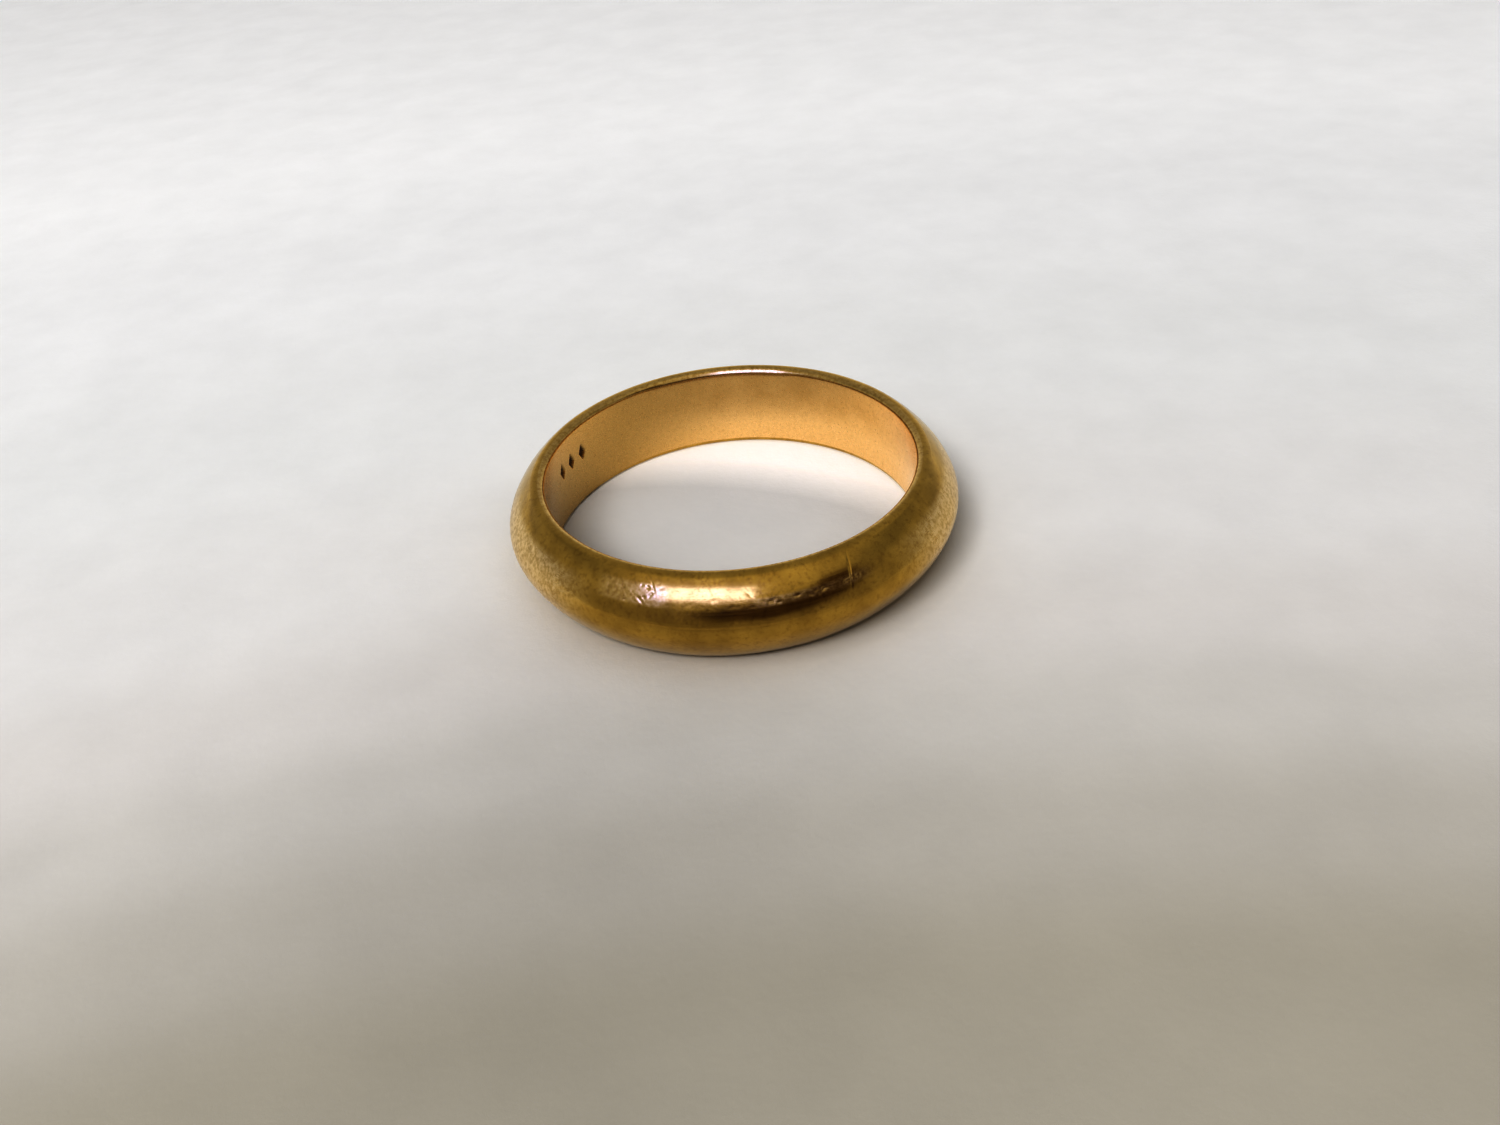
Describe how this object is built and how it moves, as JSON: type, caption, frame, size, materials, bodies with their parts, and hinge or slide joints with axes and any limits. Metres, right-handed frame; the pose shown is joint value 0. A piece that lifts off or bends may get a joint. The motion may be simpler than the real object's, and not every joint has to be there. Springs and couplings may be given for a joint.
{
  "type": "wedding band",
  "caption": "Plain half-round ring for a finger: straight inner wall, domed outside, narrow rims and a row of small lozenge punch marks inside.",
  "frame": {"origin": "on the finger axis, at the level of the lower rim that the band lies on", "axes": "+Z along the finger axis, up; +X to the right and -Y towards the viewer in the usual front view; the punch marks are in the inner wall towards -X and +Y"},
  "size_m": [0.0197, 0.0196, 0.004],
  "materials": {
    "gold": "polished yellow gold, softly worn with fine scuffs and scratches"
  },
  "bodies": {
    "root": {"band": "gold"}
  },
  "joints": []
}
